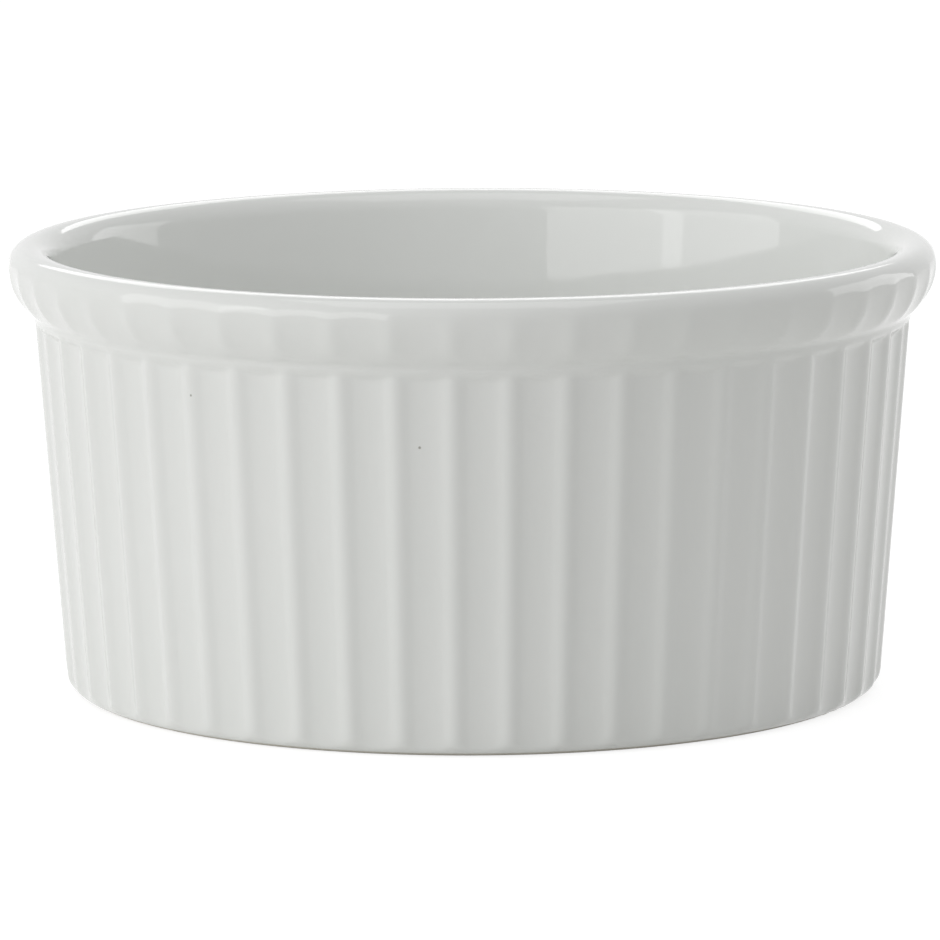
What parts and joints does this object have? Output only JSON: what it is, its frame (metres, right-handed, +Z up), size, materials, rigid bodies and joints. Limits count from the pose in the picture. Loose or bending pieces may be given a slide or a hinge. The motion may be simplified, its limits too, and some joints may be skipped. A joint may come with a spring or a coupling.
{
  "type": "ramekin",
  "caption": "Round white porcelain ramekin with a fluted wall, a rolled collar under the lip and a bare foot ring.",
  "frame": {"origin": "centre of the foot ring's resting plane, under the middle of the dish", "axes": "+Z up along the axis of the round dish, out of its open mouth; +X lies in the resting plane, through the middle of a flute, and +Y through the tip of a ridge"},
  "size_m": [0.1, 0.1, 0.0483],
  "materials": {
    "bare_porcelain": "matte, fired and unglazed, seen only on the foot",
    "clear_glaze": "high gloss"
  },
  "bodies": {
    "root": {"porcelain_body": "bare_porcelain", "glaze_coat": "clear_glaze", "base_glaze": "clear_glaze"}
  },
  "joints": []
}
